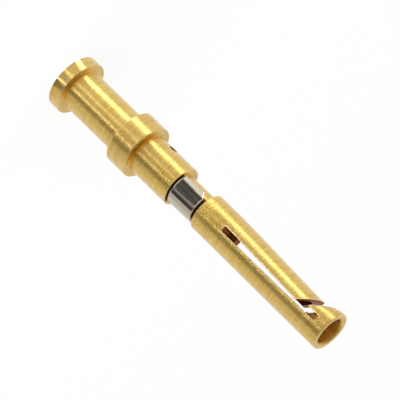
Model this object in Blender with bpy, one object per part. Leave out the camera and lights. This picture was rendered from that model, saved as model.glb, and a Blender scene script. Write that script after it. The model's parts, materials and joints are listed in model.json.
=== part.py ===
"""Turned crimp socket contact with a spring clip round its neck.

All sizes are in metres. The contact stands on its wire end at z = 0 and its mouth looks along +Z. The spring
finger is on the -X side, and the slot beside it was sawn from the -Y side.
"""

import math

import bmesh
import bpy
from mathutils import Vector

MM = 0.001

# Wire end: flange, crimp barrel and wire bore
FLANGE_RADIUS = 2.07 * MM
FLANGE_LENGTH = 0.90 * MM
FLANGE_REAR_CHAMFER = 0.04 * MM
FLANGE_ROOT_FILLET = 0.28 * MM
BARREL_RADIUS = 1.525 * MM
BARREL_LENGTH = 5.05 * MM
WIRE_BORE_RADIUS = 0.875 * MM
WIRE_BORE_DEPTH = 9.40 * MM
WIRE_ENTRY_CHAMFER = 0.30 * MM
DRILL_POINT_ANGLE = math.radians(118)

# Collar that seats in the connector body
COLLAR_RADIUS = 2.05 * MM
COLLAR_LENGTH = 1.72 * MM
COLLAR_REAR_CHAMFER = 0.03 * MM
COLLAR_ROOT_FILLET = 0.14 * MM
EDGE_BREAK = 0.05 * MM

# Shank in front of the collar, with the wire inspection hole
SHANK_RADIUS = 1.505 * MM
SHANK_LENGTH = 3.61 * MM
SHANK_EDGE_ROUND = 0.10 * MM
INSPECTION_HOLE_RADIUS = 0.30 * MM
INSPECTION_HOLE_SETBACK = 0.35 * MM
INSPECTION_HOLE_BEARING = math.radians(78)

# Clip rolled from steel strip, which lies in the groove round the neck
CLIP_LENGTH = 2.20 * MM
CLIP_THICKNESS = 0.17 * MM
CLIP_TAPER = 0.035 * MM
CLIP_CORNER_CUT = 0.22 * MM
CLIP_EDGE_ROUND = 0.02 * MM
CLIP_SLIT_BEARING = math.radians(37)
CLIP_SLIT_OPENING = math.radians(90)
CLIP_SLIT_SKEW = math.radians(4)
CLIP_RADIAL_PLAY = 0.03 * MM
CLIP_REAR_PLAY = 0.06 * MM
CLIP_FRONT_PLAY = 0.29 * MM
NECK_RADIUS = 1.04 * MM
NECK_ROOT_FILLET = 0.05 * MM

# Socket that takes the pin
SOCKET_RADIUS = 1.415 * MM
SOCKET_LENGTH = 12.32 * MM
SOCKET_BORE_RADIUS = 0.865 * MM
SOCKET_BORE_DEPTH = 10.31 * MM
MOUTH_RADIUS = 1.11 * MM
MOUTH_LEAD_IN = 0.70 * MM
MOUTH_EDGE_ROUND = 0.06 * MM
MOUTH_CHAMFER = 0.12 * MM

# Saw cuts that free the spring finger
SLOT_WIDTH = 0.41 * MM
SLOT_CORNER_RADIUS = 0.07 * MM
SLOT_START = 0.27 * MM
SLOT_REAR_LEAN = 0.39 * MM
SLOT_FRONT_WALL = 0.78 * MM
SLOT_FRONT_LEAN = 2.00 * MM
SLIT_WIDTH = 0.70 * MM
SLIT_ANGLE = math.radians(45)
SLIT_LEAN = math.radians(5)
SLIT_FLOOR = 0.10 * MM
RING_LENGTH = 2.24 * MM

# How the finger and the ring are set after sawing
FINGER_SET = 0.28 * MM
FINGER_ROOT = 0.4 * MM
RING_OVAL = 0.04
RING_SQUEEZE = 0.04
RING_SHIFT = 0.033 * MM

# Smoothness of round forms
TURNED_SEGMENTS = 48
FILLET_STEPS = 3
SPRING_STEP = 0.9 * MM
CLIP_SEGMENTS = 40
CUTTER_REACH = 3.0 * MM

# Stations along the axis
FLANGE_FRONT = FLANGE_LENGTH
COLLAR_REAR = FLANGE_FRONT + BARREL_LENGTH
COLLAR_FRONT = COLLAR_REAR + COLLAR_LENGTH
NECK_REAR = COLLAR_FRONT + SHANK_LENGTH
CLIP_REAR = NECK_REAR + CLIP_REAR_PLAY
NECK_FRONT = CLIP_REAR + CLIP_LENGTH + CLIP_FRONT_PLAY
MOUTH = NECK_FRONT + SOCKET_LENGTH
BORE_BOTTOM = MOUTH - SOCKET_BORE_DEPTH
SLOT_REAR = BORE_BOTTOM + SLOT_START
SLOT_FRONT = MOUTH - SLOT_FRONT_WALL
RING_REAR = MOUTH - RING_LENGTH
SLIT_STEP = SLIT_WIDTH / math.cos(SLIT_ANGLE)


def remove_everything():
    for obj in list(bpy.data.objects):
        bpy.data.objects.remove(obj, do_unlink=True)


def metal(name, colour, roughness):
    material = bpy.data.materials.new(name)
    material.use_nodes = True
    shader = material.node_tree.nodes["Principled BSDF"]
    shader.inputs["Base Color"].default_value = (*colour, 1)
    shader.inputs["Metallic"].default_value = 1
    shader.inputs["Roughness"].default_value = roughness
    return material


def new_object(name, bm, material=None):
    bmesh.ops.recalc_face_normals(bm, faces=bm.faces)
    mesh = bpy.data.meshes.new(name)
    bm.to_mesh(mesh)
    bm.free()
    obj = bpy.data.objects.new(name, mesh)
    bpy.context.scene.collection.objects.link(obj)
    if material:
        mesh.materials.append(material)
    return obj


def shade(obj):
    obj.data.shade_smooth()
    obj.data.set_sharp_from_angle(angle=math.radians(30))


def rounded_outline(corners):
    """Points (r, z) through the corners (r, z, radius), each corner rounded as far as its sides allow."""
    places = [Vector(corner[:2]) for corner in corners]
    points = [places[0]]
    for index in range(1, len(corners) - 1):
        here = places[index]
        to_last = places[index - 1] - here
        to_next = places[index + 1] - here
        half = to_last.angle(to_next) / 2
        radius = corners[index][2]
        reach = min(radius / math.tan(half), 0.49 * to_last.length, 0.49 * to_next.length) if radius else 0
        if reach == 0:
            points.append(here)
            continue
        radius = reach * math.tan(half)
        middle = (to_last.normalized() + to_next.normalized()).normalized()
        centre = here + middle * (radius / math.sin(half))
        first = here + to_last.normalized() * reach - centre
        last = here + to_next.normalized() * reach - centre
        start = math.atan2(first.y, first.x)
        sweep = (math.atan2(last.y, last.x) - start + math.pi) % math.tau - math.pi
        for step in range(FILLET_STEPS + 1):
            angle = start + sweep * step / FILLET_STEPS
            points.append(centre + radius * Vector((math.cos(angle), math.sin(angle))))
    points.append(places[-1])
    return points


def with_springy_rings(points):
    """The same outline with more points along the slotted length, so that it can bend."""
    result = [points[0]]
    for last, here in zip(points, points[1:]):
        span = (here - last).length
        pieces = max(1, round(span / SPRING_STEP)) if max(last.y, here.y) > SLOT_REAR else 1
        for piece in range(1, pieces + 1):
            result.append(last.lerp(here, piece / pieces))
    return result


def turned(points):
    """Solid of revolution about Z from an outline (r, z) that starts and ends on the axis."""
    bm = bmesh.new()
    verts = [bm.verts.new((point.x, 0, point.y)) for point in points]
    edges = [bm.edges.new(pair) for pair in zip(verts, verts[1:])]
    bmesh.ops.spin(
        bm,
        geom=verts + edges,
        cent=(0, 0, 0),
        axis=(0, 0, 1),
        angle=math.tau,
        steps=TURNED_SEGMENTS,
        use_merge=True,
    )
    bmesh.ops.remove_doubles(bm, verts=bm.verts, dist=0.0001 * MM)
    return bm


def body_outline():
    drill_point = WIRE_BORE_RADIUS / math.tan(DRILL_POINT_ANGLE / 2)
    corners = [
        (0, WIRE_BORE_DEPTH + drill_point, 0),
        (WIRE_BORE_RADIUS, WIRE_BORE_DEPTH, 0),
        (WIRE_BORE_RADIUS, WIRE_ENTRY_CHAMFER, 0),
        (WIRE_BORE_RADIUS + WIRE_ENTRY_CHAMFER, 0, 0),
        (FLANGE_RADIUS - FLANGE_REAR_CHAMFER, 0, 0),
        (FLANGE_RADIUS, FLANGE_REAR_CHAMFER, 0),
        (FLANGE_RADIUS, FLANGE_FRONT, EDGE_BREAK),
        (BARREL_RADIUS, FLANGE_FRONT, FLANGE_ROOT_FILLET),
        (BARREL_RADIUS, COLLAR_REAR, EDGE_BREAK),
        (COLLAR_RADIUS - COLLAR_REAR_CHAMFER, COLLAR_REAR, 0),
        (COLLAR_RADIUS, COLLAR_REAR + COLLAR_REAR_CHAMFER, 0),
        (COLLAR_RADIUS, COLLAR_FRONT, EDGE_BREAK),
        (SHANK_RADIUS, COLLAR_FRONT, COLLAR_ROOT_FILLET),
        (SHANK_RADIUS, NECK_REAR, SHANK_EDGE_ROUND),
        (NECK_RADIUS, NECK_REAR, NECK_ROOT_FILLET),
        (NECK_RADIUS, NECK_FRONT, NECK_ROOT_FILLET),
        (SOCKET_RADIUS, NECK_FRONT, EDGE_BREAK),
        (SOCKET_RADIUS, MOUTH, MOUTH_EDGE_ROUND),
        (MOUTH_RADIUS, MOUTH, 0),
        (MOUTH_RADIUS - MOUTH_CHAMFER, MOUTH - MOUTH_CHAMFER, 0),
        (SOCKET_BORE_RADIUS, MOUTH - MOUTH_LEAD_IN, EDGE_BREAK),
        (SOCKET_BORE_RADIUS, BORE_BOTTOM, 0),
        (0, BORE_BOTTOM, 0),
    ]
    return with_springy_rings(rounded_outline(corners))


def lofted_cutter(name, near_loop, far_loop):
    """Closed cutter between two loops of (x, z) points, one on each side of the contact along Y."""
    bm = bmesh.new()
    near = [bm.verts.new((x, -CUTTER_REACH, z)) for x, z in near_loop]
    far = [bm.verts.new((x, CUTTER_REACH, z)) for x, z in far_loop]
    bm.faces.new(near)
    bm.faces.new(far)
    for index in range(len(near)):
        after = (index + 1) % len(near)
        bm.faces.new((near[index], near[after], far[after], far[index]))
    return as_cutter(new_object(name, bm))


def as_cutter(obj):
    obj.hide_render = True
    obj.display_type = "WIRE"
    return obj


def rounded_slot(rear, front):
    """Loop of (x, z) points round a slot with small round corners."""
    inside = SLOT_WIDTH / 2 - SLOT_CORNER_RADIUS
    centres = (
        (inside, front - SLOT_CORNER_RADIUS, 0),
        (-inside, front - SLOT_CORNER_RADIUS, 90),
        (-inside, rear + SLOT_CORNER_RADIUS, 180),
        (inside, rear + SLOT_CORNER_RADIUS, 270),
    )
    loop = []
    for x, z, start in centres:
        for step in range(FILLET_STEPS + 1):
            angle = math.radians(start + 90 * step / FILLET_STEPS)
            loop.append((x + SLOT_CORNER_RADIUS * math.cos(angle), z + SLOT_CORNER_RADIUS * math.sin(angle)))
    return loop


def slot_cutter():
    """The slot is longer on the side it was sawn from, so its end walls lean."""
    beyond = CUTTER_REACH / SOCKET_RADIUS

    def wall(near, far, share):
        return (near + far) / 2 + (far - near) / 2 * share

    ends = [
        (
            wall(SLOT_REAR, SLOT_REAR + SLOT_REAR_LEAN, side * beyond),
            wall(SLOT_FRONT, SLOT_FRONT - SLOT_FRONT_LEAN, side * beyond),
        )
        for side in (-1, 1)
    ]
    return lofted_cutter("slot_cutter", rounded_slot(*ends[0]), rounded_slot(*ends[1]))


def slit_rear_face(x, y):
    """Height of the slit's rear face, where the finger ends, over the point (x, y)."""
    return RING_REAR - SLIT_STEP - x * math.tan(SLIT_ANGLE) - y * math.tan(SLIT_LEAN)


def slit_cutter():
    """The slit runs aslant from the slot out through the -X side and frees the finger's tip."""
    loops = []
    for y in (-CUTTER_REACH, CUTTER_REACH):
        inner = slit_rear_face(SLIT_FLOOR, y)
        outer = slit_rear_face(-CUTTER_REACH, y)
        loops.append(
            (
                (SLIT_FLOOR, inner),
                (SLIT_FLOOR, inner + SLIT_STEP),
                (-CUTTER_REACH, outer + SLIT_STEP),
                (-CUTTER_REACH, outer),
            )
        )
    return lofted_cutter("slit_cutter", *loops)


def inspection_hole_cutter():
    bm = bmesh.new()
    bmesh.ops.create_cone(
        bm,
        cap_ends=True,
        segments=24,
        radius1=INSPECTION_HOLE_RADIUS,
        radius2=INSPECTION_HOLE_RADIUS,
        depth=CUTTER_REACH,
    )
    cutter = as_cutter(new_object("inspection_hole_cutter", bm))
    outward = Vector((-math.sin(INSPECTION_HOLE_BEARING), -math.cos(INSPECTION_HOLE_BEARING), 0))
    cutter.rotation_mode = "QUATERNION"
    cutter.rotation_quaternion = outward.to_track_quat("Z", "Y")
    height = WIRE_BORE_DEPTH - INSPECTION_HOLE_SETBACK
    cutter.location = outward * CUTTER_REACH / 2 + Vector((0, 0, height))
    return cutter


def cut(obj, cutters):
    """Cuts the object and keeps the result as its own mesh."""
    for cutter in cutters:
        modifier = obj.modifiers.new(cutter.name, "BOOLEAN")
        modifier.operation = "DIFFERENCE"
        modifier.solver = "EXACT"
        modifier.object = cutter
    bpy.context.view_layer.update()
    graph = bpy.context.evaluated_depsgraph_get()
    mesh = bpy.data.meshes.new_from_object(obj.evaluated_get(graph))
    obj.modifiers.clear()
    obj.data = mesh
    for cutter in cutters:
        bpy.data.objects.remove(cutter, do_unlink=True)


def finger_deflection(z):
    """The finger curves over its root and is straight from there to the tip."""
    free_length = slit_rear_face(-SOCKET_RADIUS, 0) - SLOT_REAR
    along = max(0, z - SLOT_REAR)
    bent = along - FINGER_ROOT / 2 if along > FINGER_ROOT else along**2 / (2 * FINGER_ROOT)
    return FINGER_SET * bent / (free_length - FINGER_ROOT / 2)


def set_spring(obj):
    """Bends the finger inwards, and gives the ring and what carries it the slight oval that this leaves."""
    bm = bmesh.new()
    bm.from_mesh(obj.data)
    bmesh.ops.triangulate(bm, faces=bm.faces)
    for vert in bm.verts:
        x, y, z = vert.co
        if z <= SLOT_REAR:
            continue
        on_finger = x < 0 and z < slit_rear_face(x, y) + SLIT_STEP / 2
        if on_finger:
            vert.co.x += finger_deflection(z)
            continue
        share = min(1, (z - SLOT_REAR) / (RING_REAR - SLOT_REAR))
        vert.co.x = x * (1 + RING_OVAL * share) - RING_SHIFT * share
        vert.co.y = y * (1 - RING_SQUEEZE * share)
    bm.to_mesh(obj.data)
    bm.free()


def make_contact_body(material):
    body = new_object("contact_body", turned(body_outline()), material)
    cut(body, [slot_cutter(), slit_cutter(), inspection_hole_cutter()])
    set_spring(body)
    shade(body)
    return body


def clip_point(share, along, outer):
    """Point of the clip, share of the way round it from one slit edge to the other, at the height along."""
    skew = CLIP_SLIT_SKEW * (along / CLIP_LENGTH - 0.5)
    start = CLIP_SLIT_BEARING + CLIP_SLIT_OPENING - skew
    end = CLIP_SLIT_BEARING + math.tau + skew
    bearing = start + (end - start) * share
    radius = NECK_RADIUS + CLIP_RADIAL_PLAY + CLIP_TAPER * (1 - along / CLIP_LENGTH)
    if outer:
        radius += CLIP_THICKNESS
    return -radius * math.sin(bearing), -radius * math.cos(bearing), along


def make_retention_clip(material):
    """Strip rolled into an open ring, with its four corners at the slit cut off."""
    arc = (math.tau - CLIP_SLIT_OPENING) * (NECK_RADIUS + CLIP_RADIAL_PLAY)
    corner_share = CLIP_CORNER_CUT / arc
    shares = [0] + [corner_share + (1 - 2 * corner_share) * i / CLIP_SEGMENTS for i in range(CLIP_SEGMENTS + 1)] + [1]
    bm = bmesh.new()
    rings = []
    for share in shares:
        inset = CLIP_CORNER_CUT if share in (0, 1) else 0
        rear, front = inset, CLIP_LENGTH - inset
        places = ((rear, True), (front, True), (front, False), (rear, False))
        rings.append([bm.verts.new(clip_point(share, along, outer)) for along, outer in places])
    for last, here in zip(rings, rings[1:]):
        for side in range(4):
            after = (side + 1) % 4
            bm.faces.new((last[side], last[after], here[after], here[side]))
    bm.faces.new(rings[0])
    bm.faces.new(rings[-1])
    clip = new_object("retention_clip", bm, material)
    clip.location.z = CLIP_REAR
    bevel = clip.modifiers.new("edge_round", "BEVEL")
    bevel.width = CLIP_EDGE_ROUND
    bevel.segments = 2
    bevel.limit_method = "ANGLE"
    bevel.angle_limit = math.radians(30)
    shade(clip)
    return clip


def main():
    remove_everything()
    contact = bpy.data.objects.new("crimp_socket_contact", None)
    bpy.context.scene.collection.objects.link(contact)
    contact.empty_display_size = FLANGE_RADIUS
    gold = metal("gold_plate", (0.80, 0.58, 0.24), 0.28)
    steel = metal("spring_steel", (0.42, 0.40, 0.38), 0.32)
    for piece in (make_contact_body(gold), make_retention_clip(steel)):
        piece.parent = contact


main()
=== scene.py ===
"""Looks of the turned crimp socket contact: finely rounded meshes, gold and steel finishes, a small studio.

Lengths are in metres. The contact stands on its wire end at z = 0 and its mouth looks along +Z. Bearings are
turned about Z from the camera's side (-Y) towards the spring finger's side (-X).
"""

import json
import math

import bmesh
import bpy
from mathutils import Matrix, Vector
from mathutils.noise import noise as noise_at

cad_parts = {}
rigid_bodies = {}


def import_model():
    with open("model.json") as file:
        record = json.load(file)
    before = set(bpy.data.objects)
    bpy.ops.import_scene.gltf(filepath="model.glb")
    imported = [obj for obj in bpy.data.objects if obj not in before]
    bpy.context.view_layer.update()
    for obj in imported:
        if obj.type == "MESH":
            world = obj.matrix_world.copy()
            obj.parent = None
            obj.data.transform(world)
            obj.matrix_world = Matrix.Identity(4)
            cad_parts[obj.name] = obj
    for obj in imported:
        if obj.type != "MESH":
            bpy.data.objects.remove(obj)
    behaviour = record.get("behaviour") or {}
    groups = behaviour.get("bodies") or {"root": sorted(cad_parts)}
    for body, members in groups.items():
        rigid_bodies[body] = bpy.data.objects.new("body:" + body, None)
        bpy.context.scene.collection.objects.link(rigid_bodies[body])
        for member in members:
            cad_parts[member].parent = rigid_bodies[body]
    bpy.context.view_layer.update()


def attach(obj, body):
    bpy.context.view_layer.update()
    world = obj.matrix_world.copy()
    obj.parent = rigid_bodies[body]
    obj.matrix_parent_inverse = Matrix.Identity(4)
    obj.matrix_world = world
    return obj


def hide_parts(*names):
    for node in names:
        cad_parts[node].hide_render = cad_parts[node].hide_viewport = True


MM = 0.001

# Wire end: flange, crimp barrel and wire bore
FLANGE_RADIUS = 2.07 * MM
FLANGE_LENGTH = 0.90 * MM
FLANGE_REAR_CHAMFER = 0.04 * MM
FLANGE_ROOT_FILLET = 0.28 * MM
BARREL_RADIUS = 1.525 * MM
BARREL_LENGTH = 5.05 * MM
WIRE_BORE_RADIUS = 0.875 * MM
WIRE_BORE_DEPTH = 9.40 * MM
WIRE_ENTRY_CHAMFER = 0.30 * MM
DRILL_POINT_ANGLE = math.radians(118)

# Collar that seats in the connector body
COLLAR_RADIUS = 2.05 * MM
COLLAR_LENGTH = 1.72 * MM
COLLAR_REAR_CHAMFER = 0.03 * MM
COLLAR_ROOT_FILLET = 0.14 * MM
EDGE_BREAK = 0.05 * MM

# Shank in front of the collar, with the wire inspection hole
SHANK_RADIUS = 1.505 * MM
SHANK_LENGTH = 3.61 * MM
SHANK_EDGE_ROUND = 0.10 * MM
INSPECTION_HOLE_RADIUS = 0.30 * MM
INSPECTION_HOLE_SETBACK = 0.35 * MM
INSPECTION_HOLE_BEARING = math.radians(78)

# Clip rolled from steel strip, which lies in the groove round the neck
CLIP_LENGTH = 2.20 * MM
CLIP_THICKNESS = 0.17 * MM
CLIP_TAPER = 0.035 * MM
CLIP_REAR_CORNER_CUT = 0.05 * MM
CLIP_FRONT_CORNER_CUT = 0.42 * MM
CLIP_EDGE_ROUND = 0.02 * MM
CLIP_EDGE_LENGTH = 0.08 * MM
CLIP_EDGE_RISE = 0.02 * MM
CLIP_SLIT_BEARING = math.radians(41)
CLIP_SLIT_OPENING = math.radians(86)
CLIP_SLIT_SKEW = math.radians(4)
CLIP_RADIAL_PLAY = 0.03 * MM
CLIP_REAR_PLAY = 0.06 * MM
CLIP_FRONT_PLAY = 0.29 * MM
NECK_RADIUS = 1.04 * MM
NECK_ROOT_FILLET = 0.05 * MM

# Socket that takes the pin
SOCKET_RADIUS = 1.415 * MM
SOCKET_LENGTH = 12.32 * MM
SOCKET_BORE_RADIUS = 0.865 * MM
SOCKET_BORE_DEPTH = 10.31 * MM
MOUTH_RADIUS = 1.11 * MM
MOUTH_LEAD_IN = 0.70 * MM
MOUTH_EDGE_ROUND = 0.06 * MM
MOUTH_CHAMFER = 0.12 * MM

# Saw cuts that free the spring finger
SLOT_WIDTH = 0.41 * MM
SLOT_CORNER_RADIUS = 0.07 * MM
SLOT_START = 0.27 * MM
SLOT_REAR_LEAN = 0.39 * MM
SLOT_FRONT_WALL = 0.78 * MM
SLOT_FRONT_LEAN = 2.00 * MM
SLOT_EDGE_BREAK = 0.05 * MM
SLIT_WIDTH = 0.70 * MM
SLIT_ANGLE = math.radians(45)
SLIT_LEAN = math.radians(5)
SLIT_FLOOR = 0.10 * MM
RING_LENGTH = 2.24 * MM

# Burr that the saw left along its edges
BURR_RADIUS = 0.033 * MM
BURR_GROWTH = 0.035 * MM
BURR_STEP = 0.07 * MM
BURR_GRAIN = 9000
BURR_UNEVENNESS = 0.9
BURR_SIDES = 8
BURR_SLOT = 2

# How the finger and the ring are set after sawing
FINGER_SET = 0.28 * MM
FINGER_ROOT = 0.4 * MM
RING_OVAL = 0.04
RING_SQUEEZE = 0.04
RING_SHIFT = 0.033 * MM
RING_CORNER_SET = 0.13 * MM
RING_CORNER_FRONT = 0.25 * MM

# Smoothness of round forms
SMOOTH_BELOW = math.radians(30)
TURNED_SEGMENTS = 160
MERGE_DISTANCE = 0.0001 * MM
HOLE_SEGMENTS = 48
CLIP_EDGE_STEPS = 3
FILLET_STEPS = 6
SUPPORT = 0.015 * MM
SPRING_STEP = 0.35 * MM
CLIP_SEGMENTS = 120
CUTTER_REACH = 3.0 * MM

# Stations along the axis
FLANGE_FRONT = FLANGE_LENGTH
COLLAR_REAR = FLANGE_FRONT + BARREL_LENGTH
COLLAR_FRONT = COLLAR_REAR + COLLAR_LENGTH
NECK_REAR = COLLAR_FRONT + SHANK_LENGTH
CLIP_REAR = NECK_REAR + CLIP_REAR_PLAY
NECK_FRONT = CLIP_REAR + CLIP_LENGTH + CLIP_FRONT_PLAY
MOUTH = NECK_FRONT + SOCKET_LENGTH
BORE_BOTTOM = MOUTH - SOCKET_BORE_DEPTH
SLOT_REAR = BORE_BOTTOM + SLOT_START
SLOT_FRONT = MOUTH - SLOT_FRONT_WALL
RING_REAR = MOUTH - RING_LENGTH
SLIT_STEP = SLIT_WIDTH / math.cos(SLIT_ANGLE)

# Camera: the photograph's angle, framing and mild perspective
CAMERA_ELEVATION = math.radians(24)
CAMERA_ROLL = math.radians(44.29)
CAMERA_DISTANCE = 0.358
AIM_HEIGHT = 12.12 * MM
FRAME_PIXELS = 400
PIXEL = 0.06636 * MM
AIM_PIXELS = (10.2, -4.3)
SENSOR = 36
CLIP_START = 0.01

# Studio
FLOOR_SIZE = 4.0
FLOOR_COLOUR = (0.86, 0.86, 0.85)
FLOOR_ROUGHNESS = 0.9
FLOOR_GLOW = 0.85
AMBIENT = 0.45
MIRROR_RADIUS = 1.75 * MM
CARD_INNER = 0.3 * MM
CARD_OUTER = 110 * MM
CARD_LIFT = 0.01 * MM
WALL_HEIGHT = 82 * MM
ROOF_HEIGHT = 84 * MM
PATCH_LIFT = 0.02 * MM
CLIP_PATCH = (23.5 * MM, 38 * MM)
TOP_LAMP_SIZE = 400 * MM
TOP_LAMP_DISTANCE = 500 * MM
TOP_LAMP_BRIGHTNESS = 4.5
TOP_LAMP_BEARING = math.radians(-20)
TOP_LAMP_ELEVATION = math.radians(75)
CARD_STEP = 5

# Neutral cards round the contact: from and to a bearing in degrees, and the brightness
FLOOR_CARDS = {
    "floor_behind_left": (76, 180, 1.0),
    "floor_key_light": (54, 73, 4.6),
    "floor_left": (14, 54, 0.9),
    "floor_strip_left": (5, 14, 2.0),
    "floor_front": (-24, 5, 0.7),
    "floor_strip_right": (-28, -24, 5.0),
    "floor_flag": (-57, -28, 0.3),
    "floor_right": (-95, -57, 0.8),
    "floor_behind_right": (-180, -95, 0.95),
}
WALL_CARDS = {
    "wall_left": (-14, 180, 0.8),
    "wall_flag": (-55, -14, 0.4),
    "wall_right": (-180, -55, 0.75),
}
ROOF_CARDS = {
    "roof": (-110, 110, 0.3),
}
CLIP_CARDS = {
    "clip_key_light": (50, 90, 1.4),
    "clip_flag_left": (-29, 50, 0.09),
    "clip_strip": (-43, -29, 0.45),
    "clip_flag_right": (-68, -43, 0.09),
}

# Sockets of Blender's Mix node where it mixes colours
MIX_FACTOR, MIX_A, MIX_B, MIX_RESULT = 0, 6, 7, 2

# Finish of the gold: colours and the places where it differs, with painted shade in the bores, in the corners where
# the flange and the collar rise and in the groove beside the clip
GOLD_COLOUR = (0.84, 0.60, 0.16)
GOLD_DEEP = (0.67, 0.42, 0.07)
# Painted shade: darker, redder colour in the bores
GOLD_BORE_SHADE = (0.56, 0.26, 0.04)
BORE_EDGE = 0.02 * MM
BORE_FADE = 0.10 * MM
FLARE_FADE = 0.24 * MM
FLARE_REAR = 1.0 * MM
FLARE_FRONT = 0.8 * MM
FLARE_LEAST = 0.1
RING_FADE = 0.4 * MM
RING_LEAST = 0.3
# Painted shade: deep orange colour in the corners where the flange and the collar rise, strongest on the -Y side
GOLD_ROOT_SHADE = (0.88, 0.40, 0.03)
GOLD_ROOT_SHADE_DEEP = (0.52, 0.18, 0.01)
ROOT_RING_PITCH = 0.13 * MM
ROOT_NEAR = 0.08 * MM
ROOT_FAR = 0.28 * MM
ROOT_SPAN = (0.35, 0.8)
ROOT_LEAST = 0.25
FLANGE_ROOT_SHARE = 0.95
# Painted shade: near-black colour in the groove beside the clip, on the -Y side
GROOVE_SHADE = (0.10, 0.038, 0.010)
GROOVE_DEEP = 0.06 * MM
GROOVE_SHALLOW = 0.02 * MM
GROOVE_END_NEAR = 0.01 * MM
GROOVE_END_FAR = 0.02 * MM
GROOVE_OPEN_MARGINS = (0.08, 0.2)
GROOVE_SIDE_FADE = 0.3
WORN_COLOUR = (0.95, 0.76, 0.36)
WORN_SPAN = (0.35, 0.6)
WORN_LEAST = 0.3
EDGE_NEAR = 0.02 * MM
EDGE_FAR = 0.06 * MM
WORN_EDGES = (
    (FLANGE_RADIUS, 0),
    (FLANGE_RADIUS, FLANGE_FRONT),
    (COLLAR_RADIUS, COLLAR_REAR),
    (COLLAR_RADIUS, COLLAR_FRONT),
    (SHANK_RADIUS, NECK_REAR),
    (SOCKET_RADIUS, NECK_FRONT),
    (SOCKET_RADIUS, MOUTH),
)

# Finish of the gold: sheen and marks. Marks and bands say how closely they lie around and along the contact
GOLD_ROUGHNESS = (0.29, 0.37)
GOLD_ANISOTROPY = 0.95
QUARTER_TURN = 0.25
LAND_RADIUS = 1.75 * MM
LAND_EDGE = 0.1 * MM
LAND_ROUGHER = 0.04
COAT = 0.6
COAT_ROUGHNESS = 0.2
COAT_IOR = 1.6
GOLD_MARKS = (120, 9500)
GOLD_BANDS = (60, 2600)
PITS_GRAIN = 5200
MARKS_SHARE = 0.65
MARKS_DEPTH = 0.012 * MM
PITS_DEPTH = 0.006 * MM
BANDS_DEPTH = 0.002 * MM
CHATTER_START = 0.1 * MM
CHATTER_LENGTH = 1.25 * MM
CHATTER_PITCH = 0.15 * MM
CHATTER_SLANT = 0.8
CHATTER_WOBBLE = 2.5
CHATTER_WOBBLE_GRAIN = 700
CHATTER_DEPTH = 0.0035 * MM

# Finish of the sawn faces and their burr, with painted shade on the sawn faces and painted light on those in the
# ring
# Painted shade: the dark red-brown colour of the sawn faces
SAWN_SHADED_COLOUR = (0.50, 0.15, 0.02)
SAWN_SHADED_DEEP = (0.28, 0.07, 0.01)
# Painted light: brighter colour for the sawn walls in the ring
SAWN_RING_LIGHT = (1.0, 0.56, 0.08)
SAWN_RING_LIGHT_FADE = (0.5 * MM, 0.9 * MM)
SAWN_METALLIC = 0.5
SAWN_SPECULAR = 0.1
SAWN_ROUGHNESS = (0.32, 0.45)
SAWN_STRETCH = (2000, 1200, 15000)
SAWN_DEPTH = 0.004 * MM
BURR_COLOUR = (1.0, 0.88, 0.54)
BURR_DEEP = (0.85, 0.58, 0.22)
BURR_ROUGHNESS = (0.35, 0.5)
BURR_DEPTH = 0.004 * MM

# Finish of the steel
STEEL_COLOUR = (0.60, 0.54, 0.43)
STEEL_DARK = (0.46, 0.41, 0.32)
STEEL_ROUGHNESS = (0.08, 0.12)
STEEL_MARKS = (2600, 120)
STEEL_MARKS_DEPTH = 0.0001 * MM
STEEL_PITS_GRAIN = 6000
STEEL_PITS_DEPTH = 0.00002 * MM

# Stretches of a noise's values that take it from one look to the other
NOISE_SPAN = (0.3, 0.7)
STREAK_SPAN = (0.35, 0.65)
MOTTLE_SPAN = (0.42, 0.58)
BURR_SPAN = (0.4, 0.6)


def new_object(name, bm):
    bmesh.ops.recalc_face_normals(bm, faces=bm.faces)
    mesh = bpy.data.meshes.new(name)
    bm.to_mesh(mesh)
    bm.free()
    obj = bpy.data.objects.new(name, mesh)
    bpy.context.scene.collection.objects.link(obj)
    return obj


def shade(obj):
    obj.data.shade_smooth()
    obj.data.set_sharp_from_angle(angle=SMOOTH_BELOW)


def rounded_outline(corners):
    """Points (r, z) through the corners (r, z, radius), each corner rounded as far as its sides allow.

    A further point beside each round keeps its shading off the straight stretches.
    """
    places = [Vector(corner[:2]) for corner in corners]
    points = [places[0]]
    for index in range(1, len(corners) - 1):
        here = places[index]
        to_last = places[index - 1] - here
        to_next = places[index + 1] - here
        half = to_last.angle(to_next) / 2
        radius = corners[index][2]
        reach = min(radius / math.tan(half), 0.49 * to_last.length, 0.49 * to_next.length) if radius else 0
        if reach == 0:
            points.append(here)
            continue
        radius = reach * math.tan(half)
        middle = (to_last.normalized() + to_next.normalized()).normalized()
        centre = here + middle * (radius / math.sin(half))
        first = here + to_last.normalized() * reach - centre
        last = here + to_next.normalized() * reach - centre
        start = math.atan2(first.y, first.x)
        sweep = (math.atan2(last.y, last.x) - start + math.pi) % math.tau - math.pi
        if reach + SUPPORT < 0.45 * to_last.length:
            points.append(here + to_last.normalized() * (reach + SUPPORT))
        for step in range(FILLET_STEPS + 1):
            angle = start + sweep * step / FILLET_STEPS
            points.append(centre + radius * Vector((math.cos(angle), math.sin(angle))))
        if reach + SUPPORT < 0.45 * to_next.length:
            points.append(here + to_next.normalized() * (reach + SUPPORT))
    points.append(places[-1])
    return points


def with_springy_rings(points):
    """The same outline with more points along the slotted length, so that it can bend."""
    result = [points[0]]
    for last, here in zip(points, points[1:]):
        span = (here - last).length
        pieces = max(1, round(span / SPRING_STEP)) if max(last.y, here.y) > SLOT_REAR else 1
        for piece in range(1, pieces + 1):
            result.append(last.lerp(here, piece / pieces))
    return result


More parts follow.
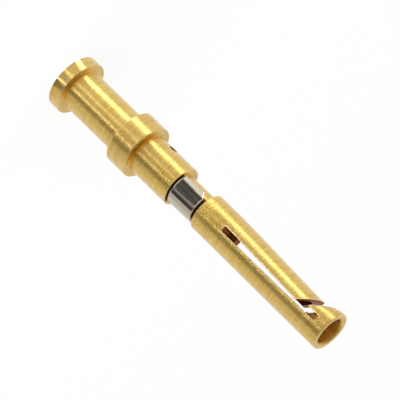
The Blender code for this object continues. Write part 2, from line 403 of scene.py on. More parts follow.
def turned(points):
    """Solid of revolution about Z from an outline (r, z) that starts and ends on the axis."""
    bm = bmesh.new()
    verts = [bm.verts.new((point.x, 0, point.y)) for point in points]
    edges = [bm.edges.new(pair) for pair in zip(verts, verts[1:])]
    bmesh.ops.spin(
        bm,
        geom=verts + edges,
        cent=(0, 0, 0),
        axis=(0, 0, 1),
        angle=math.tau,
        steps=TURNED_SEGMENTS,
        use_merge=True,
    )
    bmesh.ops.remove_doubles(bm, verts=bm.verts, dist=MERGE_DISTANCE)
    return bm


def body_outline():
    drill_point = WIRE_BORE_RADIUS / math.tan(DRILL_POINT_ANGLE / 2)
    corners = [
        (0, WIRE_BORE_DEPTH + drill_point, 0),
        (WIRE_BORE_RADIUS, WIRE_BORE_DEPTH, 0),
        (WIRE_BORE_RADIUS, WIRE_ENTRY_CHAMFER, EDGE_BREAK),
        (WIRE_BORE_RADIUS + WIRE_ENTRY_CHAMFER, 0, EDGE_BREAK / 2),
        (FLANGE_RADIUS - FLANGE_REAR_CHAMFER, 0, EDGE_BREAK / 4),
        (FLANGE_RADIUS, FLANGE_REAR_CHAMFER, EDGE_BREAK / 2),
        (FLANGE_RADIUS, FLANGE_FRONT, EDGE_BREAK),
        (BARREL_RADIUS, FLANGE_FRONT, FLANGE_ROOT_FILLET),
        (BARREL_RADIUS, COLLAR_REAR, EDGE_BREAK),
        (COLLAR_RADIUS - COLLAR_REAR_CHAMFER, COLLAR_REAR, EDGE_BREAK / 4),
        (COLLAR_RADIUS, COLLAR_REAR + COLLAR_REAR_CHAMFER, EDGE_BREAK / 2),
        (COLLAR_RADIUS, COLLAR_FRONT, EDGE_BREAK),
        (SHANK_RADIUS, COLLAR_FRONT, COLLAR_ROOT_FILLET),
        (SHANK_RADIUS, NECK_REAR, SHANK_EDGE_ROUND),
        (NECK_RADIUS, NECK_REAR, NECK_ROOT_FILLET),
        (NECK_RADIUS, NECK_FRONT, NECK_ROOT_FILLET),
        (SOCKET_RADIUS, NECK_FRONT, EDGE_BREAK),
        (SOCKET_RADIUS, MOUTH, MOUTH_EDGE_ROUND),
        (MOUTH_RADIUS, MOUTH, EDGE_BREAK / 2),
        (MOUTH_RADIUS - MOUTH_CHAMFER, MOUTH - MOUTH_CHAMFER, EDGE_BREAK),
        (SOCKET_BORE_RADIUS, MOUTH - MOUTH_LEAD_IN, EDGE_BREAK),
        (SOCKET_BORE_RADIUS, BORE_BOTTOM, 0),
        (0, BORE_BOTTOM, 0),
    ]
    return with_springy_rings(rounded_outline(corners))


def lofted_cutter(name, sections, finishes):
    """Closed cutter through sections (y, loop of (x, z) points), with the finish that each stretch leaves."""
    bm = bmesh.new()
    rows = [[bm.verts.new((x, y, z)) for x, z in loop] for y, loop in sections]
    bm.faces.new(rows[0])
    bm.faces.new(rows[-1])
    cutter_finishes = list(dict.fromkeys(finishes))
    for near, far, finish in zip(rows, rows[1:], finishes):
        for index in range(len(near)):
            after = (index + 1) % len(near)
            face = bm.faces.new((near[index], near[after], far[after], far[index]))
            face.material_index = cutter_finishes.index(finish)
    cutter = new_object(name, bm)
    for finish in cutter_finishes:
        cutter.data.materials.append(finish)
    return cutter


def rounded_slot(rear, front, growth=0.0):
    """Loop of (x, z) points round a slot with small round corners, made larger all round by the growth."""
    corner = SLOT_CORNER_RADIUS + growth
    inside = SLOT_WIDTH / 2 + growth - corner
    low = rear - growth + corner
    high = front + growth - corner
    loop = []
    for x, z, start in ((inside, high, 0), (-inside, high, 90), (-inside, low, 180), (inside, low, 270)):
        for step in range(FILLET_STEPS + 1):
            angle = math.radians(start + 90 * step / FILLET_STEPS)
            loop.append((x + corner * math.cos(angle), z + corner * math.sin(angle)))
    return loop


def slot_ends(y):
    """Where the slot's leaning end walls stand at y: it is longer on the side it was sawn from."""
    share = (y / SOCKET_RADIUS + 1) / 2
    return SLOT_REAR + SLOT_REAR_LEAN * share, SLOT_FRONT - SLOT_FRONT_LEAN * share


def slot_cutter(turned_finish, sawn_shaded_finish):
    """The slot through both walls, with flared ends that break its edges."""
    root = SOCKET_RADIUS - SLOT_EDGE_BREAK
    rim = SOCKET_RADIUS + SLOT_EDGE_BREAK
    sections = []
    for y, growth in ((-rim, 2 * SLOT_EDGE_BREAK), (-root, 0), (root, 0), (rim, 2 * SLOT_EDGE_BREAK)):
        sections.append((y, rounded_slot(*slot_ends(y), growth)))
    return lofted_cutter("slot_cutter", sections, (turned_finish, sawn_shaded_finish, turned_finish))


def slit_rear_face(x, y):
    """Height of the slit's rear face, where the finger ends, over the point (x, y)."""
    return RING_REAR - SLIT_STEP - x * math.tan(SLIT_ANGLE) - y * math.tan(SLIT_LEAN)


def slit_cutter(finish):
    """The slit runs aslant from the slot out through the -X side and frees the finger's tip."""
    sections = []
    for y in (-CUTTER_REACH, CUTTER_REACH):
        inner = slit_rear_face(SLIT_FLOOR, y)
        outer = slit_rear_face(-CUTTER_REACH, y)
        loop = (
            (SLIT_FLOOR, inner),
            (SLIT_FLOOR, inner + SLIT_STEP),
            (-CUTTER_REACH, outer + SLIT_STEP),
            (-CUTTER_REACH, outer),
        )
        sections.append((y, loop))
    return lofted_cutter("slit_cutter", sections, [finish])


def inspection_hole_cutter(finish):
    bm = bmesh.new()
    bmesh.ops.create_cone(
        bm,
        cap_ends=True,
        segments=HOLE_SEGMENTS,
        radius1=INSPECTION_HOLE_RADIUS,
        radius2=INSPECTION_HOLE_RADIUS,
        depth=CUTTER_REACH,
    )
    cutter = new_object("inspection_hole_cutter", bm)
    cutter.data.materials.append(finish)
    outward = Vector((-math.sin(INSPECTION_HOLE_BEARING), -math.cos(INSPECTION_HOLE_BEARING), 0))
    cutter.rotation_mode = "QUATERNION"
    cutter.rotation_quaternion = outward.to_track_quat("Z", "Y")
    height = WIRE_BORE_DEPTH - INSPECTION_HOLE_SETBACK
    cutter.location = outward * CUTTER_REACH / 2 + Vector((0, 0, height))
    return cutter


def cut(obj, cutters):
    """Cuts the object and keeps the result as its own mesh."""
    for cutter in cutters:
        modifier = obj.modifiers.new(cutter.name, "BOOLEAN")
        modifier.operation = "DIFFERENCE"
        modifier.solver = "EXACT"
        modifier.material_mode = "TRANSFER"
        modifier.object = cutter
    bpy.context.view_layer.update()
    graph = bpy.context.evaluated_depsgraph_get()
    mesh = bpy.data.meshes.new_from_object(obj.evaluated_get(graph))
    obj.modifiers.clear()
    obj.data = mesh
    for cutter in cutters:
        bpy.data.objects.remove(cutter, do_unlink=True)


def resampled(points, step):
    """The same path with more points, no two of them further apart than the step."""
    result = [points[0]]
    for last, here in zip(points, points[1:]):
        pieces = max(1, math.ceil((here - last).length / step))
        for piece in range(1, pieces + 1):
            result.append(last.lerp(here, piece / pieces))
    return result


def on_socket_surface(x, z, side):
    return Vector((x, side * math.sqrt(SOCKET_RADIUS**2 - x**2), z))


def slot_edge_path(side):
    """The slot's edge on one side of the socket, from the finger's tip round both ends to the ring."""
    loop = rounded_slot(*slot_ends(side * SOCKET_RADIUS), BURR_GROWTH)
    points = resampled([on_socket_surface(x, z, side) for x, z in (*loop, loop[0])], BURR_STEP)
    points = points[:-1]
    kept = []
    for x, y, z in points:
        slit_rear = slit_rear_face(x, y)
        kept.append(x > 0 or not slit_rear < z < slit_rear + SLIT_STEP)
    start = next(i for i in range(len(points)) if kept[i] and not kept[i - 1])
    turned_round = points[start:] + points[:start]
    return turned_round[: sum(kept)]


def slit_edge_path(step_up):
    """The edge of the slit's rear face, or of its front face one step up, round the finger's side."""
    gap = math.asin((SLOT_WIDTH / 2 + BURR_GROWTH) / SOCKET_RADIUS)
    count = round((math.pi - 2 * gap) * SOCKET_RADIUS / BURR_STEP)
    points = []
    for index in range(count + 1):
        out = direction(gap + (math.pi - 2 * gap) * index / count) * SOCKET_RADIUS
        points.append(Vector((out.x, out.y, slit_rear_face(out.x, out.y) + step_up)))
    return points


def make_burr(path, radius):
    """Uneven bead along a path on the socket's surface, sunk halfway into it."""
    bm = bmesh.new()
    rings = []
    for index, centre in enumerate(path):
        ahead = path[min(index + 1, len(path) - 1)] - path[max(index - 1, 0)]
        outward = Vector((centre.x, centre.y, 0)).normalized()
        across = ahead.cross(outward).normalized()
        size = radius * (1 + BURR_UNEVENNESS * noise_at(centre * BURR_GRAIN))
        ring = []
        for side in range(BURR_SIDES):
            angle = math.tau * side / BURR_SIDES
            ring.append(bm.verts.new(centre + size * (math.cos(angle) * outward + math.sin(angle) * across)))
        rings.append(ring)
    for last, here in zip(rings, rings[1:]):
        for side in range(BURR_SIDES):
            after = (side + 1) % BURR_SIDES
            bm.faces.new((last[side], last[after], here[after], here[side]))
    bm.faces.new(rings[0])
    bm.faces.new(rings[-1])
    return new_object("burr", bm)


def join_burrs(body):
    """Adds the burr along the edges of the slot and the slit to the body's mesh."""
    paths = [slot_edge_path(-1), slot_edge_path(1), slit_edge_path(0), slit_edge_path(SLIT_STEP)]
    bm = bmesh.new()
    bm.from_mesh(body.data)
    for path in paths:
        burr = make_burr(path, BURR_RADIUS)
        first = len(bm.faces)
        bm.from_mesh(burr.data)
        bm.faces.ensure_lookup_table()
        for face in bm.faces[first:]:
            face.material_index = BURR_SLOT
        bpy.data.objects.remove(burr, do_unlink=True)
    bm.to_mesh(body.data)
    bm.free()


def finger_deflection(z):
    """The finger curves over its root and is straight from there to the tip."""
    free_length = slit_rear_face(-SOCKET_RADIUS, 0) - SLOT_REAR
    along = max(0, z - SLOT_REAR)
    bent = along - FINGER_ROOT / 2 if along > FINGER_ROOT else along**2 / (2 * FINGER_ROOT)
    return FINGER_SET * bent / (free_length - FINGER_ROOT / 2)


def ring_corner_deflection(x, z):
    """The corner that the slit leaves on the ring is pressed inwards and curves out to the mouth."""
    front = MOUTH - RING_CORNER_FRONT
    corner = slit_rear_face(-SOCKET_RADIUS, 0) + SLIT_STEP
    along = max(0, front - z) / (front - corner)
    return RING_CORNER_SET * along**2 * (max(0, -x) / SOCKET_RADIUS) ** 4


def set_spring(obj):
    """Bends the finger inwards, and gives the ring and what carries it the slight oval that this leaves."""
    bm = bmesh.new()
    bm.from_mesh(obj.data)
    bmesh.ops.triangulate(bm, faces=bm.faces)
    for vert in bm.verts:
        x, y, z = vert.co
        if z <= SLOT_REAR:
            continue
        on_finger = x < 0 and z < slit_rear_face(x, y) + SLIT_STEP / 2
        if on_finger:
            vert.co.x += finger_deflection(z)
            continue
        share = min(1, (z - SLOT_REAR) / (RING_REAR - SLOT_REAR))
        vert.co.x = x * (1 + RING_OVAL * share) - RING_SHIFT * share
        if z > slit_rear_face(x, y) + SLIT_STEP / 2:
            vert.co.x += ring_corner_deflection(x, z)
        vert.co.y = y * (1 - RING_SQUEEZE * share)
    bm.to_mesh(obj.data)
    bm.free()


def make_contact_body(turned_finish, sawn_shaded_finish, burr_finish):
    body = new_object("turned_contact", turned(body_outline()))
    body.data.materials.append(turned_finish)
    slot = slot_cutter(turned_finish, sawn_shaded_finish)
    cut(body, [slot, slit_cutter(sawn_shaded_finish), inspection_hole_cutter(sawn_shaded_finish)])
    body.data.materials.append(burr_finish)
    join_burrs(body)
    set_spring(body)
    shade(body)
    return body


def clip_point(share, along, outer):
    """Point of the clip, share of the way round it from one slit edge to the other, at the height along."""
    skew = CLIP_SLIT_SKEW * (along / CLIP_LENGTH - 0.5)
    start = CLIP_SLIT_BEARING + CLIP_SLIT_OPENING - skew
    end = CLIP_SLIT_BEARING + math.tau + skew
    bearing = start + (end - start) * share
    radius = NECK_RADIUS + CLIP_RADIAL_PLAY + CLIP_TAPER * (1 - along / CLIP_LENGTH)
    if outer:
        rear_rise = max(0, 1 - along / CLIP_EDGE_LENGTH)
        front_fall = max(0, 1 - (CLIP_LENGTH - along) / CLIP_EDGE_LENGTH)
        radius += CLIP_THICKNESS + CLIP_EDGE_RISE * (rear_rise - front_fall)
    return -radius * math.sin(bearing), -radius * math.cos(bearing), CLIP_REAR + along


def make_retention_clip(material):
    """Strip rolled into an open ring, with its corners at the slit cut off, more in front than behind."""
    arc = (math.tau - CLIP_SLIT_OPENING) * (NECK_RADIUS + CLIP_RADIAL_PLAY)
    corner_share = CLIP_FRONT_CORNER_CUT / arc
    shares = [0]
    shares += [corner_share + (1 - 2 * corner_share) * i / CLIP_SEGMENTS for i in range(CLIP_SEGMENTS + 1)]
    shares += [1]
    bm = bmesh.new()
    rings = []
    for share in shares:
        at_end = share in (0, 1)
        rear = CLIP_REAR_CORNER_CUT if at_end else 0
        front = CLIP_LENGTH - (CLIP_FRONT_CORNER_CUT if at_end else 0)
        stations = [rear, rear + CLIP_EDGE_LENGTH, rear + CLIP_EDGE_LENGTH + SUPPORT]
        stations += [front - CLIP_EDGE_LENGTH - SUPPORT, front - CLIP_EDGE_LENGTH, front]
        places = [(along, True) for along in stations] + [(front, False), (rear, False)]
        rings.append([bm.verts.new(clip_point(share, along, outer)) for along, outer in places])
    for last, here in zip(rings, rings[1:]):
        for side in range(len(here)):
            after = (side + 1) % len(here)
            bm.faces.new((last[side], last[after], here[after], here[side]))
    bm.faces.new(rings[0])
    bm.faces.new(rings[-1])
    clip = new_object("rolled_clip", bm)
    bevel = clip.modifiers.new("edge_round", "BEVEL")
    bevel.width = CLIP_EDGE_ROUND
    bevel.segments = CLIP_EDGE_STEPS
    bevel.limit_method = "ANGLE"
    bevel.angle_limit = SMOOTH_BELOW
    shade(clip)
    clip.data.materials.append(material)
    return clip


def material_with_shader(name):
    material = bpy.data.materials.new(name)
    material.use_nodes = True
    tree = material.node_tree
    return material, tree, tree.nodes["Principled BSDF"]


def feed(tree, socket, value):
    """Links a socket into another, or sets it to a plain value."""
    if isinstance(value, bpy.types.NodeSocket):
        tree.links.new(value, socket)
    else:
        socket.default_value = value


def calculate(tree, operation, *values):
    node = tree.nodes.new("ShaderNodeMath")
    node.operation = operation
    for socket, value in zip(node.inputs, values):
        feed(tree, socket, value)
    return node.outputs["Value"]


def product(tree, first, *others):
    for other in others:
        first = calculate(tree, "MULTIPLY", first, other)
    return first


def diagonal(tree, across, up):
    squares = calculate(tree, "ADD", product(tree, across, across), product(tree, up, up))
    return calculate(tree, "SQRT", squares)


def row_place(tree):
    """A point of the surface in the row frame."""
    return tree.nodes.new("ShaderNodeTexCoord").outputs["Object"]


def place_and_radius(tree):
    """The parts x, y, z of a point in the row frame, and its distance from the axis."""
    parts = tree.nodes.new("ShaderNodeSeparateXYZ")
    feed(tree, parts.inputs[0], row_place(tree))
    x, y, z = parts.outputs
    return x, y, z, diagonal(tree, x, y)


def turning_coordinates(tree, around, along):
    """Vector whose third part runs across the turning marks, on round faces and on flat ones alike."""
    x, y, z, radius = place_and_radius(tree)
    joined = tree.nodes.new("ShaderNodeCombineXYZ")
    feed(tree, joined.inputs[0], product(tree, x, around))
    feed(tree, joined.inputs[1], product(tree, y, around))
    feed(tree, joined.inputs[2], product(tree, calculate(tree, "ADD", z, radius), along))
    return joined.outputs[0]


def noise(tree, vector, scale=1.0, detail=3.0, roughness=0.5):
    node = tree.nodes.new("ShaderNodeTexNoise")
    feed(tree, node.inputs["Vector"], vector)
    node.inputs["Scale"].default_value = scale
    node.inputs["Detail"].default_value = detail
    node.inputs["Roughness"].default_value = roughness
    return node.outputs["Fac"]


def ranged(tree, value, low, high, to_low=0.0, to_high=1.0):
    """Follows the value from to_low at low to to_high at high, and stays there outside."""
    node = tree.nodes.new("ShaderNodeMapRange")
    for name, number in (("From Min", low), ("From Max", high), ("To Min", to_low), ("To Max", to_high)):
        node.inputs[name].default_value = number
    feed(tree, node.inputs["Value"], value)
    return node.outputs["Result"]


def mixed(tree, share, first, second):
    """Mix of two colours, each a plain one or a socket."""
    node = tree.nodes.new("ShaderNodeMix")
    node.data_type = "RGBA"
    feed(tree, node.inputs[MIX_FACTOR], share)
    for index, colour in ((MIX_A, first), (MIX_B, second)):
        feed(tree, node.inputs[index], colour if isinstance(colour, bpy.types.NodeSocket) else (*colour, 1))
    return node.outputs[MIX_RESULT]


def bump(tree, height, distance, normal=None):
    node = tree.nodes.new("ShaderNodeBump")
    node.inputs["Distance"].default_value = distance
    feed(tree, node.inputs["Height"], height)
    if normal:
        feed(tree, node.inputs["Normal"], normal)
    return node.outputs["Normal"]


def painted_bore_shade(tree):
    """1 in the bores, whose plating is dull and whose colour takes painted shade, less in the ring, which light
    reaches, and 0 outside.
    """
    _, _, z, radius = place_and_radius(tree)
    wall = SOCKET_BORE_RADIUS + BORE_EDGE
    straight = ranged(tree, radius, wall, SOCKET_BORE_RADIUS + BORE_FADE, 1.0, 0.0)
    flared = ranged(tree, radius, wall, SOCKET_BORE_RADIUS + FLARE_FADE, 1.0, FLARE_LEAST)
    at_mouth = ranged(tree, z, MOUTH - FLARE_REAR, MOUTH - FLARE_FRONT)
    deep = calculate(tree, "MAXIMUM", straight, product(tree, flared, at_mouth))
    behind_ring = ranged(tree, z, RING_REAR - RING_FADE, RING_REAR, 1.0, RING_LEAST)
    return product(tree, deep, calculate(tree, "MAXIMUM", behind_ring, at_mouth))


def near_circle(tree, radius, height, near, far):
    """1 near a circle about the axis and 0 further off."""
    _, _, z, distance = place_and_radius(tree)
    out = calculate(tree, "SUBTRACT", distance, radius)
    up = calculate(tree, "SUBTRACT", z, height)
    return ranged(tree, diagonal(tree, out, up), near, far, 1.0, 0.0)


def towards_front(tree):
    """1 on the -Y side, 0 on the sides and -1 on the far side."""
    _, y, _, radius = place_and_radius(tree)
    return calculate(tree, "DIVIDE", product(tree, y, -1.0), radius)


def root_rings(tree):
    """Fine rings that the tool left where a flat face meets a round one."""
    _, _, z, radius = place_and_radius(tree)
    phase = product(tree, calculate(tree, "SUBTRACT", radius, z), math.tau / ROOT_RING_PITCH)
    return ranged(tree, calculate(tree, "SINE", phase), 0.0, 1.0)


def in_root_shade(tree):
    """Painted shade: 1 in the front of the corners where the flange and the collar rise, less on their sides, and 0
    elsewhere.
    """
    flange_root = near_circle(tree, BARREL_RADIUS, FLANGE_FRONT, ROOT_NEAR, ROOT_FAR)
    collar_root = near_circle(tree, SHANK_RADIUS, COLLAR_FRONT, ROOT_NEAR, ROOT_FAR)
    root_shade = calculate(tree, "MAXIMUM", product(tree, flange_root, FLANGE_ROOT_SHARE), collar_root)
    return product(tree, root_shade, ranged(tree, towards_front(tree), *ROOT_SPAN, ROOT_LEAST, 1.0))


def on_worn_edge(tree, unevenness):
    worn = 0.0
    for radius, height in WORN_EDGES:
        worn = calculate(tree, "MAXIMUM", worn, near_circle(tree, radius, height, EDGE_NEAR, EDGE_FAR))
    return product(tree, worn, ranged(tree, unevenness, *WORN_SPAN, WORN_LEAST, 1.0))


def in_groove_shade(tree):
    """Painted shade: 1 in the groove beside the clip on the -Y side, and 0 on its other sides, elsewhere and where
    the clip is open.
    """
    x, y, z, radius = place_and_radius(tree)
    deep = ranged(tree, radius, SHANK_RADIUS - GROOVE_DEEP, SHANK_RADIUS - GROOVE_SHALLOW, 1.0, 0.0)
    ahead = ranged(tree, z, NECK_REAR - GROOVE_END_FAR, NECK_REAR - GROOVE_END_NEAR)
    behind = ranged(tree, z, NECK_FRONT + GROOVE_END_NEAR, NECK_FRONT + GROOVE_END_FAR, 1.0, 0.0)
    bearing = calculate(tree, "ARCTAN2", product(tree, x, -1.0), product(tree, y, -1.0))
    middle = CLIP_SLIT_BEARING + CLIP_SLIT_OPENING / 2
    off = calculate(tree, "ABSOLUTE", calculate(tree, "SUBTRACT", bearing, middle))
    closed = ranged(tree, off, *(CLIP_SLIT_OPENING / 2 + angle for angle in GROOVE_OPEN_MARGINS))
    in_front = ranged(tree, towards_front(tree), 0.0, GROOVE_SIDE_FADE)
    return product(tree, deep, closed, ahead, behind, in_front)


def chatter(tree):
    """Slanting waves that the tool left where the socket begins."""
    x, _, z, _ = place_and_radius(tree)
    wobble = noise(tree, row_place(tree), CHATTER_WOBBLE_GRAIN)
    slanted = calculate(tree, "ADD", z, product(tree, x, CHATTER_SLANT))
    even = product(tree, slanted, math.tau / CHATTER_PITCH)
    phase = calculate(tree, "ADD", even, product(tree, wobble, CHATTER_WOBBLE))
    fading = ranged(tree, z, NECK_FRONT + CHATTER_LENGTH / 2, NECK_FRONT + CHATTER_LENGTH, 1.0, 0.0)
    started = ranged(tree, z, NECK_FRONT - CHATTER_START, NECK_FRONT)
    return product(tree, calculate(tree, "SINE", phase), started, fading)


def along_the_marks(tree, shader):
    """Turning marks spread a highlight across them, along the contact on its round faces."""
    tangent = tree.nodes.new("ShaderNodeTangent")
    tangent.direction_type = "RADIAL"
    tangent.axis = "Z"
    feed(tree, shader.inputs["Tangent"], tangent.outputs["Tangent"])
    shader.inputs["Anisotropic Rotation"].default_value = QUARTER_TURN


def gold_plate():
    material, tree, shader = material_with_shader("gold_finish_and_shade")
    marks = noise(tree, turning_coordinates(tree, *GOLD_MARKS), detail=4.0, roughness=0.7)
    bands = noise(tree, turning_coordinates(tree, *GOLD_BANDS), detail=2.0)
    pits = noise(tree, row_place(tree), PITS_GRAIN, detail=4.0, roughness=0.65)
    mottle = calculate(tree, "ADD", product(tree, marks, MARKS_SHARE), product(tree, pits, 1 - MARKS_SHARE))
    root_shade = in_root_shade(tree)
    groove = in_groove_shade(tree)
    bore_shade = painted_bore_shade(tree)

    plated = mixed(tree, ranged(tree, mottle, *MOTTLE_SPAN), GOLD_DEEP, GOLD_COLOUR)
    worn = mixed(tree, on_worn_edge(tree, pits), plated, WORN_COLOUR)
    # Painted shade in the corners, the groove beside the clip and the bores goes into the base colour here
    root_shade_colour = mixed(tree, root_rings(tree), GOLD_ROOT_SHADE, GOLD_ROOT_SHADE_DEEP)
    shaded_colour = mixed(tree, groove, mixed(tree, root_shade, worn, root_shade_colour), GROOVE_SHADE)
    feed(tree, shader.inputs["Base Color"], mixed(tree, bore_shade, shaded_colour, GOLD_BORE_SHADE))

    radius = place_and_radius(tree)[3]
    lands = ranged(tree, radius, LAND_RADIUS, LAND_RADIUS + LAND_EDGE, 0.0, LAND_ROUGHER)
    roughness = ranged(tree, bands, *NOISE_SPAN, *GOLD_ROUGHNESS)
    feed(tree, shader.inputs["Roughness"], calculate(tree, "ADD", roughness, lands))
    shader.inputs["Metallic"].default_value = 1.0
    shader.inputs["Anisotropic"].default_value = GOLD_ANISOTROPY
    along_the_marks(tree, shader)

    uncoated = calculate(tree, "MAXIMUM", bore_shade, calculate(tree, "MAXIMUM", root_shade, groove))
    feed(tree, shader.inputs["Coat Weight"], ranged(tree, uncoated, 0.0, 1.0, COAT, 0.0))
    shader.inputs["Coat Roughness"].default_value = COAT_ROUGHNESS
    shader.inputs["Coat IOR"].default_value = COAT_IOR

    marked = bump(tree, marks, MARKS_DEPTH)
    pitted = bump(tree, pits, PITS_DEPTH, marked)
    waved = bump(tree, chatter(tree), CHATTER_DEPTH, pitted)
    feed(tree, shader.inputs["Normal"], bump(tree, bands, BANDS_DEPTH, waved))
    return material


def sawn_gold():
    """Faces that the saw left: duller, coloured dark red-brown as painted shade and brighter in the ring as painted
    light, with the saw's marks across them.
    """
    material, tree, shader = material_with_shader("sawn_shaded_finish")
    stretch = tree.nodes.new("ShaderNodeMapping")
    stretch.inputs["Scale"].default_value = SAWN_STRETCH
    feed(tree, stretch.inputs["Vector"], row_place(tree))
    marks = noise(tree, stretch.outputs["Vector"], roughness=0.6)
    colour = mixed(tree, ranged(tree, marks, *STREAK_SPAN), SAWN_SHADED_DEEP, SAWN_SHADED_COLOUR)
    # Painted light: the sawn walls in the ring are coloured brighter, though they face away from the light
    ring_light = ranged(tree, place_and_radius(tree)[2], *(RING_REAR + ahead for ahead in SAWN_RING_LIGHT_FADE))
    feed(tree, shader.inputs["Base Color"], mixed(tree, ring_light, colour, SAWN_RING_LIGHT))
    feed(tree, shader.inputs["Roughness"], ranged(tree, marks, *NOISE_SPAN, *SAWN_ROUGHNESS))
    shader.inputs["Metallic"].default_value = SAWN_METALLIC
    shader.inputs["Specular IOR Level"].default_value = SAWN_SPECULAR
    feed(tree, shader.inputs["Normal"], bump(tree, marks, SAWN_DEPTH))
    return material


def burr_gold():
    """The thin bright burr along the sawn edges."""
    material, tree, shader = material_with_shader("burr_finish")
    grain = noise(tree, row_place(tree), BURR_GRAIN)
    feed(tree, shader.inputs["Base Color"], mixed(tree, ranged(tree, grain, *BURR_SPAN), BURR_DEEP, BURR_COLOUR))
    feed(tree, shader.inputs["Roughness"], ranged(tree, grain, *NOISE_SPAN, *BURR_ROUGHNESS))
    shader.inputs["Metallic"].default_value = 1.0
    feed(tree, shader.inputs["Normal"], bump(tree, grain, BURR_DEPTH))
    return material


def spring_steel():
    material, tree, shader = material_with_shader("steel_finish")
    marks = noise(tree, turning_coordinates(tree, *STEEL_MARKS), detail=2.0, roughness=0.6)
    pits = noise(tree, row_place(tree), STEEL_PITS_GRAIN, roughness=0.6)
    feed(tree, shader.inputs["Base Color"], mixed(tree, ranged(tree, marks, *STREAK_SPAN), STEEL_DARK, STEEL_COLOUR))
    feed(tree, shader.inputs["Roughness"], ranged(tree, marks, *NOISE_SPAN, *STEEL_ROUGHNESS))
    shader.inputs["Metallic"].default_value = 1.0
    marked = bump(tree, marks, STEEL_MARKS_DEPTH)
    feed(tree, shader.inputs["Normal"], bump(tree, pits, STEEL_PITS_DEPTH, marked))
    return material


def shown_as_background(tree):
    """1 for the rays that see the background itself: camera, mirror and glass rays."""
    path = tree.nodes.new("ShaderNodeLightPath")
    seen = calculate(tree, "MAXIMUM", path.outputs["Is Camera Ray"], path.outputs["Is Glossy Ray"])
    return calculate(tree, "MAXIMUM", seen, path.outputs["Is Transmission Ray"])


def make_world():
    world = bpy.data.worlds.new("studio")
    world.use_nodes = True
    bpy.context.scene.world = world
    tree = world.node_tree
    background = tree.nodes["Background"]
    background.inputs["Color"].default_value = (1, 1, 1, 1)
    strength = ranged(tree, shown_as_background(tree), 0.0, 1.0, AMBIENT, 1.0)
    feed(tree, background.inputs["Strength"], strength)


def make_floor():
    bm = bmesh.new()
    bmesh.ops.create_grid(bm, x_segments=1, y_segments=1, size=FLOOR_SIZE / 2)
    floor = new_object("studio_floor", bm)
    material, tree, shader = material_with_shader("white_paper")
    shader.inputs["Base Color"].default_value = (*FLOOR_COLOUR, 1)
    shader.inputs["Roughness"].default_value = FLOOR_ROUGHNESS
    shader.inputs["Specular IOR Level"].default_value = 0.0
    glow = tree.nodes.new("ShaderNodeEmission")
    blend = tree.nodes.new("ShaderNodeMixShader")
    feed(tree, blend.inputs[0], calculate(tree, "MULTIPLY", shown_as_background(tree), FLOOR_GLOW))
    feed(tree, blend.inputs[1], shader.outputs[0])
    feed(tree, blend.inputs[2], glow.outputs[0])
    feed(tree, tree.nodes["Material Output"].inputs["Surface"], blend.outputs[0])
    floor.data.materials.append(material)


def direction(bearing, elevation=0.0):
    flat = math.cos(elevation)
    return Vector((-math.sin(bearing) * flat, -math.cos(bearing) * flat, math.sin(elevation)))


def seen_in_reflections(obj, brightness):
    """An evenly bright neutral card, which only mirror rays see."""
    material, tree, _ = material_with_shader(obj.name)
    glow = tree.nodes.new("ShaderNodeEmission")
    glow.inputs["Strength"].default_value = brightness
    feed(tree, tree.nodes["Material Output"].inputs["Surface"], glow.outputs[0])
    obj.data.materials.append(material)
    obj.visible_camera = False
    obj.visible_diffuse = False
    obj.visible_shadow = False


def make_card(name, start, end, brightness, path):
    """Card between two bearings along the path (reach, z), as the round of the contact mirrors it."""
    bm = bmesh.new()
    rows = []
    steps = max(2, round((end - start) / CARD_STEP))
    for step in range(steps + 1):
        bearing = math.radians(start + (end - start) * step / steps)
        origin = direction(bearing / 2) * MIRROR_RADIUS
        out = direction(bearing)
        rows.append([bm.verts.new(origin + out * reach + Vector((0, 0, z))) for reach, z in path])
    for last, here in zip(rows, rows[1:]):
        for low in range(len(path) - 1):
            bm.faces.new((last[low], last[low + 1], here[low + 1], here[low]))
    seen_in_reflections(new_object(name, bm), brightness)


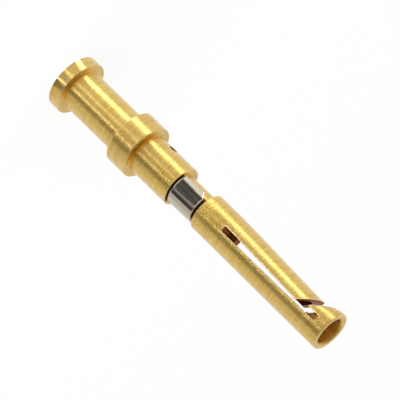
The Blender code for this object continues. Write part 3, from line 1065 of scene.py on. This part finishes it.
def make_cards():
    floor = ((CARD_INNER, CARD_LIFT), (CARD_OUTER, CARD_LIFT))
    wall = ((CARD_OUTER, CARD_LIFT), (CARD_OUTER, WALL_HEIGHT))
    roof = ((CARD_INNER, ROOF_HEIGHT), (CARD_OUTER, ROOF_HEIGHT))
    clip_patch = ((CLIP_PATCH[0], PATCH_LIFT), (CLIP_PATCH[1], PATCH_LIFT))
    sets = (
        (FLOOR_CARDS, floor),
        (WALL_CARDS, wall),
        (ROOF_CARDS, roof),
        (CLIP_CARDS, clip_patch),
    )
    for cards, path in sets:
        for name, (start, end, brightness) in cards.items():
            make_card(name, start, end, brightness, path)


def make_lamp():
    """Large soft lamp overhead, which lights the floor and the sawn faces and is not mirrored."""
    lamp = bpy.data.lights.new("softbox", "AREA")
    lamp.size = TOP_LAMP_SIZE
    lamp.energy = TOP_LAMP_BRIGHTNESS * math.pi * TOP_LAMP_SIZE**2
    obj = bpy.data.objects.new("softbox", lamp)
    bpy.context.scene.collection.objects.link(obj)
    out = direction(TOP_LAMP_BEARING, TOP_LAMP_ELEVATION)
    obj.location = Vector((0, 0, AIM_HEIGHT)) + out * TOP_LAMP_DISTANCE
    obj.rotation_euler = out.to_track_quat("Z", "Y").to_euler()
    obj.visible_glossy = False


def make_camera():
    towards = direction(0, CAMERA_ELEVATION)
    along = direction(math.pi, math.pi / 2 - CAMERA_ELEVATION)
    across = Vector((1, 0, 0))
    right = -math.sin(CAMERA_ROLL) * across + math.cos(CAMERA_ROLL) * along
    up = -math.cos(CAMERA_ROLL) * across - math.sin(CAMERA_ROLL) * along
    centre = Vector((0, 0, AIM_HEIGHT)) + (AIM_PIXELS[0] * right + AIM_PIXELS[1] * up) * PIXEL
    camera = bpy.data.objects.new("camera", bpy.data.cameras.new("camera"))
    bpy.context.scene.collection.objects.link(camera)
    camera.data.sensor_width = SENSOR
    camera.data.lens = SENSOR * CAMERA_DISTANCE / (FRAME_PIXELS * PIXEL)
    camera.data.clip_start = CLIP_START
    matrix = Matrix((right, up, towards)).transposed().to_4x4()
    matrix.translation = centre + towards * CAMERA_DISTANCE
    camera.matrix_world = matrix
    bpy.context.scene.camera = camera


def make_studio():
    bpy.context.scene.view_settings.view_transform = "Standard"
    make_world()
    make_floor()
    make_cards()
    make_lamp()
    make_camera()


def main():
    for obj in list(bpy.data.objects):
        bpy.data.objects.remove(obj, do_unlink=True)
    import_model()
    body = make_contact_body(gold_plate(), sawn_gold(), burr_gold())
    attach(body, "root")
    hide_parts("contact_body")
    clip = make_retention_clip(spring_steel())
    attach(clip, "root")
    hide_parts("retention_clip")
    make_studio()


main()
